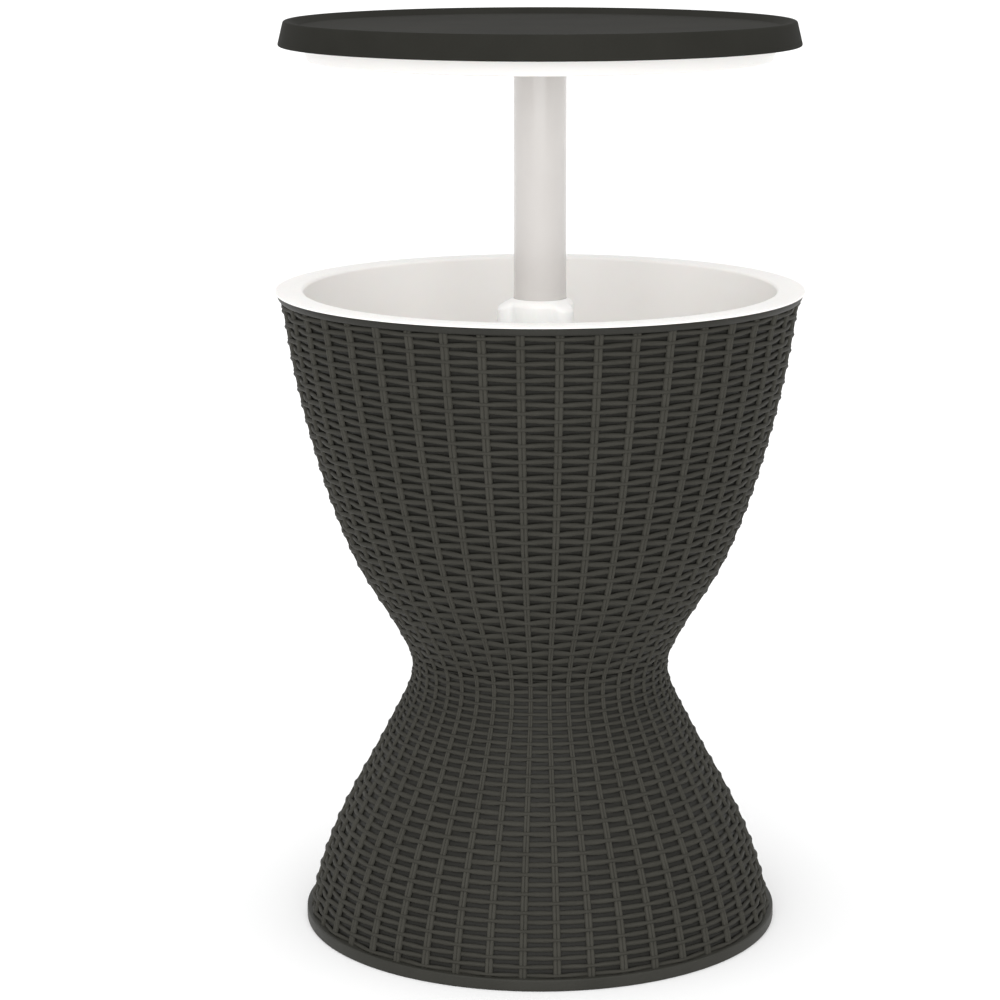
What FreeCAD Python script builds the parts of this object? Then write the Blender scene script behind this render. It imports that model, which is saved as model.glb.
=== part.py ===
import FreeCAD, Part
import math
import os

# Cooler table with a raised lid, in millimetres.
# +Z is up, the origin is on the floor at the centre of the foot, and the lid stands at its
# highest place.

V = FreeCAD.Vector
UP = V(0, 0, 1)
TURN = 360.0
halvings = 40

# Woven shells: the mean surface of the weave runs through these heights and radii. Each strand is
# a ring that stands proud of it, with a groove above and below.
foot_radius = 223.5
foot_band_height = 11.0
foot_band_step = 1.3
foot_edge_round = 1.5
foot_ring_width = 14.0
skirt_low_height = 80.0
skirt_low_radius = 199.8
skirt_high_drop = 101.0
skirt_high_spread = 36.5
neck_low_drop = 61.0
neck_low_spread = 15.9
waist_drop = 18.0
waist_radius = 121.7
seam_height = 261.0
seam_spread = 2.5
neck_high_rise = 39.0
neck_high_spread = 22.7
bowl_low_rise = 79.0
bowl_low_spread = 47.0
bowl_middle_rise = 169.0
bowl_middle_radius = 203.3
bowl_high_rise = 269.0
bowl_high_radius = 228.0
groove_depth = 1.2
strand_crest = 0.45
shell_wall = 3.0
shell_top_height = 601.4
lip_height = 6.9
lip_inset = 1.8
lip_step = 4.6
lip_overhang_low = 1.2
lip_edge_round = 1.2
lip_bulge_across = 0.35
lip_bulge_along = 0.45
web_thick = 3.0
web_overlap = 1.0
lower_web_hole_radius = 34.0

# Strands of the weave: rows counted from below, and how far up the woven height each one lies.
lower_row_shares = (
    (0, 0.016), (10, 0.325), (17, 0.551), (22, 0.700), (27, 0.826), (31, 0.925), (33, 0.984),
)
upper_row_shares = ((0, 0.012), (6, 0.165), (16, 0.411), (26, 0.641), (34, 0.818), (42, 0.991))
lower_split_row = 15
upper_split_row = 17

# Screws that hold the shells and the guide tube together at the waist.
shank_radius = 2.4
thread_clearance = 0.05
hole_clearance = 0.4
screw_head_radius = 4.6
screw_head_height = 2.6
boss_radius = 6.5
boss_height = 10.0
waist_screw_count = 6
waist_screw_inset = 21.2
waist_screw_start = 30.0
tube_screw_circle = 47.0
screw_end_gap = 1.0

# Cooler liner. The gaps are measured from the mean surface of the weave to the white face.
rim_radius = 244.3
rim_thick = 1.7
rim_edge_round = 0.8
rim_width = 26.3
mouth_round = 3.0
liner_wall = 3.0
liner_floor_rise = 35.0
liner_floor_inset = 32.4
liner_low_gap = 18.7
liner_middle_gap = 16.3
liner_high_gap = 19.6
bucket_split_rise = 139.0
locating_rib_height = 6.4
locating_rib_wall = 2.0
fit_gap = 0.3

# Three lobed guide for the mast.
lobe_angles = (73.0, 193.0, 313.0)
pole_radius = 24.3
pole_wall = 2.2
running_gap = 0.08
guide_bore_gap = 1.0
key_reach = 34.5
key_half_width = 5.0
guide_wall = 2.2
guide_foot_radius = 60.0
guide_foot_thick = 4.0
guide_floor_thick = 3.0
column_gap = 0.6
column_wall = 2.0
column_drop = 18.4
collar_skirt_gap = 0.3
collar_skirt_wall = 0.7
collar_skirt_drop = 20.0
collar_rise = 10.0
collar_crown_radius = 26.0
collar_slope_drop = 6.5

# Drain.
drain_circle = 72.0
drain_angle = 90.0
drain_bore_radius = 5.5
drain_wall = 2.5
drain_flange_radius = 13.0
drain_flange_thick = 1.5
drain_outlet_drop = 6.0
drain_hole_gap = 0.1
drain_web_gap = 1.0
gasket_thick = 1.5
nut_thick = 6.0
nut_radius = 13.0
nut_sides = 6
plug_shank_length = 12.0
plug_head_radius = 9.5
plug_head_thick = 3.0
plug_tab_width = 12.0
plug_tab_height = 11.0
plug_tab_thick = 3.0
plug_tab_hole_radius = 3.0

# Mast foot and twist lock.
lid_travel = 210.8
stop_gap = 0.3
lock_head_thick = 3.0
lock_head_radius = 4.8
washer_thick = 2.0
washer_radius = 14.0
axial_gap = 0.2
shoe_floor_thick = 10.0
journal_radius = 8.0
pocket_radius = 18.0
pocket_relief = 0.8
cam_radius = 13.5
cam_lobe_half_width = 4.0
cam_height = 11.0
unlock_angle = 60.0
shoe_slit_width = 2.0
end_flange_thick = 3.0
end_spigot_length = 20.0
spigot_gap = 0.05
lock_screw_length = 18.0

# Lid.
lid_top_height = 847.8
lid_skirt_inset = 5.5
lid_skirt_taper = 5.4
lid_skirt_height = 22.3
lid_skirt_wall = 3.0
lid_top_round = 1.5
lid_bottom_round = 1.2
tray_rim_width = 5.0
tray_depth = 5.5
tray_slope_width = 8.0
tray_floor_thick = 3.0
pan_drop = 14.2
pan_mouth_gap = 6.5
pan_skirt_gap = 2.0
pan_wall = 2.5
pan_edge_round = 3.0
post_count = 6
post_circle = 150.0
post_radius = 5.5
pan_screw_radius = 1.9
pan_screw_head_radius = 3.9
pan_screw_head_height = 2.0
pan_screw_length = 18.0
socket_wall = 5.2
socket_flange_radius = 52.0
socket_flange_thick = 3.0
socket_pad_thick = 6.0
socket_pad_hole_radius = 34.0
socket_floor_gap = 0.7
socket_screw_count = 4
socket_screw_circle = 43.0
socket_screw_start = 45.0
socket_screw_depth = 7.0
pin_radius = 3.0
pin_drop = 11.0
pole_hole_gap = 0.3

# Places that follow from the sizes above.
foot_weave_radius = foot_radius - foot_band_step
skirt_high_height = seam_height - skirt_high_drop
skirt_high_radius = waist_radius + skirt_high_spread
neck_low_height = seam_height - neck_low_drop
neck_low_radius = waist_radius + neck_low_spread
waist_height = seam_height - waist_drop
seam_radius = waist_radius + seam_spread
waist_screw_circle = seam_radius - waist_screw_inset
neck_high_height = seam_height + neck_high_rise
neck_high_radius = waist_radius + neck_high_spread
bowl_low_height = seam_height + bowl_low_rise
bowl_low_radius = waist_radius + bowl_low_spread
bowl_middle_height = seam_height + bowl_middle_rise
bowl_high_height = seam_height + bowl_high_rise
lip_radius = rim_radius - lip_inset
lip_low_radius = lip_radius - lip_step
lip_low_height = shell_top_height - lip_height
rim_top_height = shell_top_height + rim_thick
mouth_radius = rim_radius - rim_width
liner_floor_height = seam_height + liner_floor_rise
liner_floor_radius = neck_high_radius - liner_floor_inset
liner_floor_bottom = liner_floor_height - liner_wall
bucket_split_height = seam_height + bucket_split_rise
column_top_height = shell_top_height - column_drop
collar_top_height = column_top_height + collar_rise
lid_skirt_radius = rim_radius - lid_skirt_inset
lid_top_radius = lid_skirt_radius - lid_skirt_taper
pan_radius = mouth_radius - pan_mouth_gap
pan_skirt_radius = mouth_radius - pan_skirt_gap
shell_inner_offset = groove_depth + shell_wall
shell_top_inner_radius = lip_low_radius - shell_inner_offset
drain_x = drain_circle * math.cos(math.radians(drain_angle))
drain_y = drain_circle * math.sin(math.radians(drain_angle))
drain_place = V(drain_x, drain_y, 0)
drain_outer_radius = drain_bore_radius + drain_wall
guide_bore_radius = pole_radius + guide_bore_gap
column_inner_growth = guide_wall + column_gap
column_outer_growth = column_inner_growth + column_wall
guide_floor_top = seam_height + web_thick + guide_floor_thick
mast_foot_height = guide_floor_top + lid_travel + stop_gap
washer_height = mast_foot_height + lock_head_thick
shoe_height = washer_height + washer_thick + axial_gap
pocket_height = shoe_height + shoe_floor_thick
cam_bottom_height = pocket_height + axial_gap
cam_top_height = cam_bottom_height + cam_height
shoe_top_height = cam_top_height - axial_gap
pole_bottom_height = cam_top_height + end_flange_thick
lid_skirt_bottom = lid_top_height - lid_skirt_height
pan_bottom_height = lid_skirt_bottom - pan_drop
pan_floor_top = pan_bottom_height + pan_wall
tray_floor_height = lid_top_height - tray_depth
tray_underside = tray_floor_height - tray_floor_thick
socket_pad_bottom = tray_underside - socket_pad_thick
socket_flange_bottom = socket_pad_bottom - socket_flange_thick
pole_top_height = socket_pad_bottom - axial_gap
pin_height = pole_top_height - pin_drop
socket_radius = pole_radius + socket_wall
web_screw_head = seam_height - web_thick - screw_head_height


def cylinder(radius, bottom, top, place=V(0, 0, 0)):
    return Part.makeCylinder(radius, top - bottom, V(place.x, place.y, bottom), UP)


def tube(outer, inner, bottom, top, place=V(0, 0, 0)):
    return cylinder(outer, bottom, top, place).cut(cylinder(inner, bottom - 1, top + 1, place))


def polar(radius, degrees):
    angle = math.radians(degrees)
    return V(radius * math.cos(angle), radius * math.sin(angle), 0)


def point(radius, height):
    return V(radius, 0, height)


def line(start, end):
    return Part.LineSegment(start, end).toShape()


def smooth_curve(stations, offset=0.0):
    """A curve through (height, radius) stations, with the height as Z and the radius as X."""
    curve = Part.BSplineCurve()
    curve.interpolate([point(radius + offset, height) for height, radius in stations])
    return curve


def spline(stations, offset):
    return smooth_curve(stations, offset).toShape()


def radius_at(curve, height):
    """Radius of a rising curve at one height, by halving the stretch that holds it."""
    low, high = curve.FirstParameter, curve.LastParameter
    for _ in range(halvings):
        middle = (low + high) / 2
        if curve.value(middle).z < height:
            low = middle
        else:
            high = middle
    return curve.value(low).x


def row_heights(shares, bottom, top):
    """Height of each strand of a shell, from the stated rows and their shares."""
    curve = smooth_curve(shares)
    rows = range(shares[0][0], shares[-1][0] + 1)
    return [bottom + (top - bottom) * radius_at(curve, row) for row in rows]


def grooves(rows, bottom, top):
    """Heights of the grooves under, between and over the strands."""
    return [bottom] + [(low + high) / 2 for low, high in zip(rows, rows[1:])] + [top]


def strand_arcs(stations, rows, bottom, top):
    """Outline of the weave: one arc for each strand, from groove to groove."""
    curve = smooth_curve(stations)
    ends = [point(radius_at(curve, height) - groove_depth, height)
            for height in grooves(rows, bottom, top)]
    crests = [point(radius_at(curve, height) + strand_crest, height) for height in rows]
    return [Part.Arc(start, crest, end).toShape()
            for start, crest, end in zip(ends, crests, ends[1:])]


def spin(edges):
    face = Part.Face(Part.Wire(edges))
    return face.revolve(V(0, 0, 0), UP, TURN)


def spin_polygon(corners):
    points = [point(radius, height) for radius, height in corners]
    return spin([line(a, b) for a, b in zip(points, points[1:] + points[:1])])


def cone(radius_low, radius_high, bottom, top, place):
    return Part.makeCone(radius_low, radius_high, top - bottom, V(place.x, place.y, bottom), UP)


def between(shape, bottom, top):
    """The part of a shape that lies between two heights."""
    return shape.common(cylinder(2 * rim_radius, bottom, top))


def merged(first, *others):
    return first.multiFuse(list(others)).removeSplitter()


def lobed_prism(round_radius, reach, half_width, bottom, top, turn=0.0):
    """A round bar with three rounded lobes, which stand at the lobe angles plus a turn."""
    body = cylinder(round_radius, bottom, top)
    if reach <= round_radius:
        return body
    centre = reach - half_width
    for angle in lobe_angles:
        arm = Part.makeBox(centre, 2 * half_width, top - bottom, V(0, -half_width, bottom))
        tip = cylinder(half_width, bottom, top, V(centre, 0, 0))
        lobe = arm.fuse(tip)
        lobe.rotate(V(0, 0, 0), UP, angle + turn)
        body = body.fuse(lobe)
    return body.removeSplitter()


def ring_places(count, radius, start=0.0):
    return [polar(radius, start + index * TURN / count) for index in range(count)]


def level_edges(shape, height, tolerance=0.01):
    """Edges that lie wholly at one height, for rounding."""
    found = []
    for edge in shape.Edges:
        box = edge.BoundBox
        if abs(box.ZMin - height) < tolerance and abs(box.ZMax - height) < tolerance:
            found.append(edge)
    return found


tube_screw_places = [polar(tube_screw_circle, angle + unlock_angle) for angle in lobe_angles]
waist_screw_places = ring_places(waist_screw_count, waist_screw_circle, waist_screw_start)
post_places = ring_places(post_count, post_circle)
socket_screw_places = ring_places(socket_screw_count, socket_screw_circle, socket_screw_start)

lower_stations = (
    (foot_band_height, foot_weave_radius),
    (skirt_low_height, skirt_low_radius),
    (skirt_high_height, skirt_high_radius),
    (neck_low_height, neck_low_radius),
    (waist_height, waist_radius),
    (seam_height, seam_radius),
)
upper_stations = (
    (seam_height, seam_radius),
    (neck_high_height, neck_high_radius),
    (bowl_low_height, bowl_low_radius),
    (bowl_middle_height, bowl_middle_radius),
    (bowl_high_height, bowl_high_radius),
    (lip_low_height, lip_low_radius),
)
lower_rows = row_heights(lower_row_shares, foot_band_height, seam_height)
upper_rows = row_heights(upper_row_shares, seam_height, lip_low_height)
lower_split_height = grooves(lower_rows, foot_band_height, seam_height)[lower_split_row]
upper_split_height = grooves(upper_rows, seam_height, lip_low_height)[upper_split_row]
liner_stations = (
    (liner_floor_height, liner_floor_radius),
    (bowl_low_height, bowl_low_radius - liner_low_gap),
    (bowl_middle_height, bowl_middle_radius - liner_middle_gap),
    (bowl_high_height, bowl_high_radius - liner_high_gap),
    (rim_top_height - mouth_round, mouth_radius),
)


def screw(place, head_bottom, shank_end):
    head = cylinder(screw_head_radius, head_bottom, head_bottom + screw_head_height, place)
    socket = cylinder(shank_radius, head_bottom - 1, head_bottom + screw_head_height / 2, place)
    shank = cylinder(shank_radius, head_bottom + screw_head_height / 2, shank_end, place)
    return head.cut(socket).fuse(shank).removeSplitter()


def drain_hole(bottom, top, gap):
    return cylinder(drain_outer_radius + gap, bottom, top, drain_place)


def lower_wall():
    """Curved wall of the foot shell with its strands, from the foot band to the seam."""
    arcs = strand_arcs(lower_stations, lower_rows, foot_band_height, seam_height)
    start, end = arcs[0].Vertexes[0].Point, arcs[-1].Vertexes[-1].Point
    return spin(arcs + [
        line(end, point(seam_radius - shell_inner_offset, seam_height)),
        spline(lower_stations, -shell_inner_offset),
        line(point(foot_weave_radius - shell_inner_offset, foot_band_height), start),
    ])


def upper_wall():
    """Curved wall of the bowl shell with its strands, from the seam to the lip."""
    arcs = strand_arcs(upper_stations, upper_rows, seam_height, lip_low_height)
    start, end = arcs[0].Vertexes[0].Point, arcs[-1].Vertexes[-1].Point
    return spin(arcs + [
        line(end, point(shell_top_inner_radius, lip_low_height)),
        spline(upper_stations, -shell_inner_offset),
        line(point(seam_radius - shell_inner_offset, seam_height), start),
    ])


def make_lower_shell():
    """Lower half of the woven foot shell, with its smooth foot band."""
    inner_foot = foot_radius - foot_band_step - shell_inner_offset
    band = tube(foot_radius, inner_foot, 0, foot_band_height)
    edge_round = min(foot_edge_round, 0.4 * (foot_radius - inner_foot))
    rims = [edge for edge in level_edges(band, 0) + level_edges(band, foot_band_height)
            if edge.Curve.Radius > inner_foot + 0.1]
    band = band.makeFillet(edge_round, rims)
    foot_ring = tube(inner_foot + web_overlap, foot_radius - foot_ring_width, 0, shell_wall)
    return merged(between(lower_wall(), foot_band_height, lower_split_height), band, foot_ring)


def make_lower_shell_neck():
    """Upper half of the woven foot shell, up to the seam."""
    return between(lower_wall(), lower_split_height, seam_height)


def make_lower_web():
    """Flat web across the foot shell's top, which meets the web of the bowl shell."""
    web_bottom = seam_height - web_thick
    web = tube(seam_radius - shell_inner_offset + web_overlap, lower_web_hole_radius, web_bottom,
               seam_height)
    web = web.cut(lower_wall())
    for place in waist_screw_places + tube_screw_places:
        web = web.cut(cylinder(shank_radius + hole_clearance, web_bottom - 1, seam_height + 1, place))
    return web.cut(drain_hole(web_bottom - 1, seam_height + 1, drain_web_gap))


def make_upper_shell():
    """Upper half of the woven bowl shell, with its smooth lip."""
    lip_start = point(lip_low_radius + lip_overhang_low, lip_low_height)
    lip_end = point(lip_radius, shell_top_height - lip_edge_round)
    lip_middle = point(lip_radius - lip_bulge_across * (lip_radius - lip_start.x),
                       lip_low_height + lip_bulge_along * (lip_end.z - lip_low_height))
    corner = point(lip_radius - lip_edge_round, shell_top_height)
    corner_middle = point(lip_radius - lip_edge_round * (1 - math.sqrt(0.5)),
                          shell_top_height - lip_edge_round * (1 - math.sqrt(0.5)))
    lip = spin([
        line(point(shell_top_inner_radius, lip_low_height), lip_start),
        Part.Arc(lip_start, lip_middle, lip_end).toShape(),
        Part.Arc(lip_end, corner_middle, corner).toShape(),
        line(corner, point(shell_top_inner_radius, shell_top_height)),
        line(point(shell_top_inner_radius, shell_top_height), point(shell_top_inner_radius, lip_low_height)),
    ])
    return merged(between(upper_wall(), upper_split_height, lip_low_height), lip)


def make_upper_shell_neck():
    """Lower half of the woven bowl shell, with the web that carries the guide tube."""
    web_top = seam_height + web_thick
    web = cylinder(seam_radius - shell_inner_offset + web_overlap, seam_height, web_top)
    bosses = [cylinder(boss_radius, seam_height, web_top + boss_height, place)
              for place in waist_screw_places]
    shell = merged(between(upper_wall(), seam_height, upper_split_height), web, *bosses)
    for place in waist_screw_places:
        shell = shell.cut(cylinder(shank_radius + thread_clearance, seam_height - 1,
                                   web_top + boss_height - screw_end_gap, place))
    for place in tube_screw_places:
        shell = shell.cut(cylinder(shank_radius + hole_clearance, seam_height - 1, web_top + 1, place))
    return shell.cut(drain_hole(seam_height - 1, web_top + 1, drain_web_gap))


def make_waist_screws():
    end = seam_height + web_thick + boss_height - 2 * screw_end_gap
    return Part.makeCompound([screw(place, web_screw_head, end) for place in waist_screw_places])


def make_guide_tube_screws():
    end = seam_height + web_thick + guide_foot_thick + boss_height - 2 * screw_end_gap
    return Part.makeCompound([screw(place, web_screw_head, end) for place in tube_screw_places])


def guide_outline(growth, bottom, top):
    """The guide's bore shape, grown outwards all round by one amount."""
    return lobed_prism(guide_bore_radius + growth, key_reach + growth, key_half_width + growth,
                       bottom, top)


def make_guide_tube():
    """Closed tube with three key channels that stands on the web under the bucket."""
    bottom = seam_height + web_thick
    body = guide_outline(guide_wall, bottom, column_top_height)
    foot = cylinder(guide_foot_radius, bottom, bottom + guide_foot_thick)
    boss_top = bottom + guide_foot_thick + boss_height
    bosses = [cylinder(boss_radius, bottom, boss_top, place) for place in tube_screw_places]
    body = merged(body, foot, *bosses)
    body = body.cut(guide_outline(0, guide_floor_top, column_top_height + 1))
    for place in tube_screw_places:
        body = body.cut(cylinder(shank_radius + thread_clearance, bottom - 1,
                                 boss_top - screw_end_gap, place))
    return body


def bucket_body():
    """The whole bucket without its column: flat rim, rounded mouth, curved wall and floor."""
    mouth_top = rim_top_height - mouth_round
    arc_reach = math.sqrt(0.5) * mouth_round
    outer_stations = ((liner_floor_bottom, liner_floor_radius),) + liner_stations[1:-1] + (
        (shell_top_height, mouth_radius),)
    mouth_arc = Part.Arc(
        point(mouth_radius, mouth_top),
        point(mouth_radius + mouth_round - arc_reach, mouth_top + arc_reach),
        point(mouth_radius + mouth_round, rim_top_height)).toShape()
    bucket = spin([
        line(point(0, liner_floor_height), point(liner_floor_radius, liner_floor_height)),
        spline(liner_stations, 0),
        mouth_arc,
        line(point(mouth_radius + mouth_round, rim_top_height), point(rim_radius, rim_top_height)),
        line(point(rim_radius, rim_top_height), point(rim_radius, shell_top_height)),
        line(point(rim_radius, shell_top_height), point(mouth_radius + liner_wall, shell_top_height)),
        spline(outer_stations, liner_wall),
        line(point(liner_floor_radius + liner_wall, liner_floor_bottom), point(0, liner_floor_bottom)),
        line(point(0, liner_floor_bottom), point(0, liner_floor_height)),
    ])
    rim_edges = [edge for edge in level_edges(bucket, rim_top_height)
                 if abs(edge.Curve.Radius - rim_radius) < 0.1]
    return bucket.makeFillet(min(rim_edge_round, 0.6 * rim_thick), rim_edges)


def make_liner():
    """Upper half of the white bucket, with its flat rim and the rib that centres it."""
    rib_radius = shell_top_inner_radius - fit_gap
    rib = tube(rib_radius, rib_radius - locating_rib_wall, shell_top_height - locating_rib_height,
               shell_top_height)
    return merged(between(bucket_body(), bucket_split_height, rim_top_height + 1), rib)


def make_liner_bowl():
    """Lower half of the white bucket, with its floor, its drain hole and room for the column."""
    bowl = between(bucket_body(), liner_floor_bottom - 1, bucket_split_height)
    bowl = bowl.cut(guide_outline(column_outer_growth, liner_floor_bottom - 1, liner_floor_height + 1))
    return bowl.cut(drain_hole(liner_floor_bottom - 1, liner_floor_height + 1, drain_hole_gap))


def make_liner_column():
    """Hollow column in the middle of the bucket, which keeps the ice away from the guide."""
    column = guide_outline(column_outer_growth, liner_floor_bottom, column_top_height)
    return column.cut(guide_outline(column_inner_growth, liner_floor_bottom - 1, column_top_height + 1))


def make_guide_collar():
    """Cap over the column, with a sloping crown and the bore that the pole slides in."""
    inner_growth = column_outer_growth + collar_skirt_gap
    outer_growth = inner_growth + collar_skirt_wall
    bottom = column_top_height - collar_skirt_drop
    body = guide_outline(outer_growth, bottom, collar_top_height)
    body = body.cut(guide_outline(inner_growth, bottom - 1, column_top_height))
    reach = key_reach + outer_growth
    outside = reach + outer_growth
    slope = collar_slope_drop / (reach - collar_crown_radius)
    slope_cutter = spin_polygon([
        (collar_crown_radius, collar_top_height),
        (outside, collar_top_height - slope * (outside - collar_crown_radius)),
        (outside, collar_top_height + 1),
        (collar_crown_radius, collar_top_height + 1),
    ])
    body = body.cut(slope_cutter)
    return body.cut(cylinder(pole_radius + running_gap, bottom, collar_top_height + 1))


def make_drain_spout():
    bottom = seam_height - web_thick - drain_outlet_drop
    body = cylinder(drain_outer_radius, bottom, liner_floor_height, drain_place)
    flange_top = liner_floor_height + drain_flange_thick
    flange = cylinder(drain_flange_radius, liner_floor_height, flange_top, drain_place)
    bore = cylinder(drain_bore_radius, bottom - 1, flange_top + 1, drain_place)
    return merged(body, flange).cut(bore)


def make_drain_gasket():
    return tube(drain_flange_radius, drain_outer_radius + drain_hole_gap,
                liner_floor_bottom - gasket_thick, liner_floor_bottom, drain_place)


def make_drain_nut():
    top = liner_floor_bottom - gasket_thick
    corners = [drain_place + corner for corner in ring_places(nut_sides, nut_radius)]
    outline = Part.makePolygon([V(c.x, c.y, top - nut_thick) for c in corners + corners[:1]])
    body = Part.Face(outline).extrude(V(0, 0, nut_thick))
    hole = cylinder(drain_outer_radius + thread_clearance, top - 2 * nut_thick, top + 1, drain_place)
    return body.cut(hole)


def make_drain_plug():
    """Stopper with a finger tab, pulled straight up out of the drain."""
    seat = liner_floor_height + drain_flange_thick
    shank = cylinder(drain_bore_radius - thread_clearance, seat - plug_shank_length, seat, drain_place)
    head_top = seat + plug_head_thick
    head = cylinder(plug_head_radius, seat, head_top, drain_place)
    head = head.makeFillet(0.3 * plug_head_thick, level_edges(head, head_top))
    corner = drain_place + V(-plug_tab_width / 2, -plug_tab_thick / 2, head_top - 1)
    tab = Part.makeBox(plug_tab_width, plug_tab_thick, plug_tab_height + 1, corner)
    hole_centre = drain_place + V(0, -plug_tab_thick, head_top + plug_tab_height / 2)
    hole = Part.makeCylinder(plug_tab_hole_radius, 2 * plug_tab_thick, hole_centre, V(0, 1, 0))
    return merged(shank, head, tab.cut(hole))


def make_lock_shoe():
    """Keyed bush that slides in the guide and is jammed by the cam when the lid is turned."""
    body = lobed_prism(guide_bore_radius - running_gap, key_reach - running_gap,
                       key_half_width - running_gap, shoe_height, shoe_top_height)
    pocket = lobed_prism(pocket_radius, pocket_radius + pocket_relief, cam_lobe_half_width + 1,
                         pocket_height, shoe_top_height + 1, -unlock_angle)
    bore = cylinder(journal_radius + running_gap, shoe_height - 1, pocket_height + 1)
    slit = Part.makeBox(2 * guide_bore_radius, shoe_slit_width, shoe_top_height - shoe_height + 2,
                        V(0, -shoe_slit_width / 2, shoe_height - 1))
    slit.rotate(V(0, 0, 0), UP, lobe_angles[0] + unlock_angle)
    return body.cut(pocket).cut(bore).cut(slit)


def make_pole():
    pole = tube(pole_radius, pole_radius - pole_wall, pole_bottom_height, pole_top_height)
    return pole.cut(pin_bar(thread_clearance, pole_radius + 1))


def pin_bar(gap, half_length):
    return Part.makeCylinder(pin_radius + gap, 2 * half_length, V(-half_length, 0, pin_height),
                             V(1, 0, 0))


def make_pole_end_plug():
    """Plug in the foot of the pole, with the locking cam and its journal below."""
    journal_bottom = washer_height + washer_thick
    spigot = cylinder(pole_radius - pole_wall - spigot_gap, pole_bottom_height,
                      pole_bottom_height + end_spigot_length)
    flange = cylinder(pole_radius, cam_top_height, pole_bottom_height)
    cam = lobed_prism(cam_radius, pocket_radius - running_gap, cam_lobe_half_width,
                      cam_bottom_height, cam_top_height)
    journal = cylinder(journal_radius, journal_bottom, cam_bottom_height)
    hole = cylinder(shank_radius + thread_clearance, journal_bottom - 1,
                    washer_height + lock_screw_length + screw_end_gap)
    return merged(spigot, flange, cam, journal).cut(hole)


def make_shoe_washer():
    return tube(washer_radius, shank_radius + hole_clearance, washer_height,
                washer_height + washer_thick)


def make_shoe_screw():
    head = cylinder(lock_head_radius, mast_foot_height, washer_height)
    head = head.cut(cylinder(shank_radius, mast_foot_height - 1, mast_foot_height + lock_head_thick / 2))
    shank = cylinder(shank_radius, mast_foot_height + lock_head_thick / 2,
                     washer_height + lock_screw_length)
    return merged(head, shank)


def make_table_top():
    """Dark tray top with its skirt, screw posts and the pad that carries the pole socket."""
    slope = (lid_skirt_radius - lid_top_radius) / lid_skirt_height
    inner_top = lid_skirt_radius - lid_skirt_wall - slope * (tray_underside - lid_skirt_bottom)
    tray_edge = lid_top_radius - tray_rim_width
    body = spin_polygon([
        (0, tray_underside),
        (inner_top, tray_underside),
        (lid_skirt_radius - lid_skirt_wall, lid_skirt_bottom),
        (lid_skirt_radius, lid_skirt_bottom),
        (lid_top_radius, lid_top_height),
        (tray_edge, lid_top_height),
        (tray_edge - tray_slope_width, tray_floor_height),
        (0, tray_floor_height),
    ])
    top_edges = [edge for edge in level_edges(body, lid_top_height)]
    body = body.makeFillet(min(lid_top_round, 0.4 * tray_rim_width), top_edges)
    bottom_edges = [edge for edge in level_edges(body, lid_skirt_bottom)
                    if edge.Curve.Radius > lid_skirt_radius - 0.5 * lid_skirt_wall]
    body = body.makeFillet(min(lid_bottom_round, 0.6 * lid_skirt_wall), bottom_edges)
    pad = tube(socket_flange_radius, socket_pad_hole_radius, socket_pad_bottom, tray_underside)
    posts = [cylinder(post_radius, pan_floor_top, tray_underside, place) for place in post_places]
    body = merged(body, pad, *posts)
    for place in post_places:
        body = body.cut(cylinder(pan_screw_radius + thread_clearance, pan_floor_top - 1,
                                 pan_bottom_height + pan_screw_length + screw_end_gap, place))
    for place in socket_screw_places:
        body = body.cut(cylinder(shank_radius + thread_clearance, socket_pad_bottom - 1,
                                 socket_pad_bottom + socket_screw_depth, place))
    return body


def make_lid_pan():
    """White pan under the lid, which closes the cooler's mouth."""
    slope = (pan_skirt_radius - pan_radius) / pan_drop
    top_radius = pan_radius + slope * (tray_underside - pan_bottom_height)
    body = spin_polygon([
        (0, pan_bottom_height),
        (pan_radius, pan_bottom_height),
        (top_radius, tray_underside),
        (top_radius - pan_wall, tray_underside),
        (pan_radius - pan_wall + slope * pan_wall, pan_floor_top),
        (0, pan_floor_top),
    ])
    body = body.makeFillet(pan_edge_round, level_edges(body, pan_bottom_height))
    body = body.cut(cylinder(pole_radius + pole_hole_gap, pan_bottom_height - 1, pan_floor_top + 1))
    for place in post_places:
        body = body.cut(cylinder(pan_screw_radius + hole_clearance, pan_bottom_height - 1,
                                 pan_floor_top + 1, place))
        body = body.cut(cone(pan_screw_head_radius + thread_clearance,
                             pan_screw_radius + thread_clearance,
                             pan_bottom_height, pan_bottom_height + pan_screw_head_height, place))
    return body


def make_lid_pan_screws():
    screws = []
    for place in post_places:
        head = cone(pan_screw_head_radius, pan_screw_radius, pan_bottom_height,
                    pan_bottom_height + pan_screw_head_height, place)
        shank = cylinder(pan_screw_radius, pan_bottom_height + pan_screw_head_height,
                         pan_bottom_height + pan_screw_length, place)
        screws.append(merged(head, shank))
    return Part.makeCompound(screws)


def make_pole_socket():
    """Flanged cup inside the lid that takes the top of the pole."""
    bottom = pan_floor_top + socket_floor_gap
    cup = cylinder(socket_radius, bottom, socket_flange_bottom)
    flange = cylinder(socket_flange_radius, socket_flange_bottom, socket_pad_bottom)
    body = merged(cup, flange)
    body = body.cut(cylinder(pole_radius + spigot_gap, bottom - 1, socket_pad_bottom + 1))
    body = body.cut(pin_bar(thread_clearance, socket_radius + 1))
    for place in socket_screw_places:
        body = body.cut(cylinder(shank_radius + hole_clearance, socket_flange_bottom - 1,
                                 socket_pad_bottom + 1, place))
    return body


def make_pole_socket_screws():
    head = socket_flange_bottom - screw_head_height
    end = socket_pad_bottom + socket_screw_depth - screw_end_gap
    return Part.makeCompound([screw(place, head, end) for place in socket_screw_places])


def make_pole_pin():
    return pin_bar(0, socket_radius)


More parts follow.
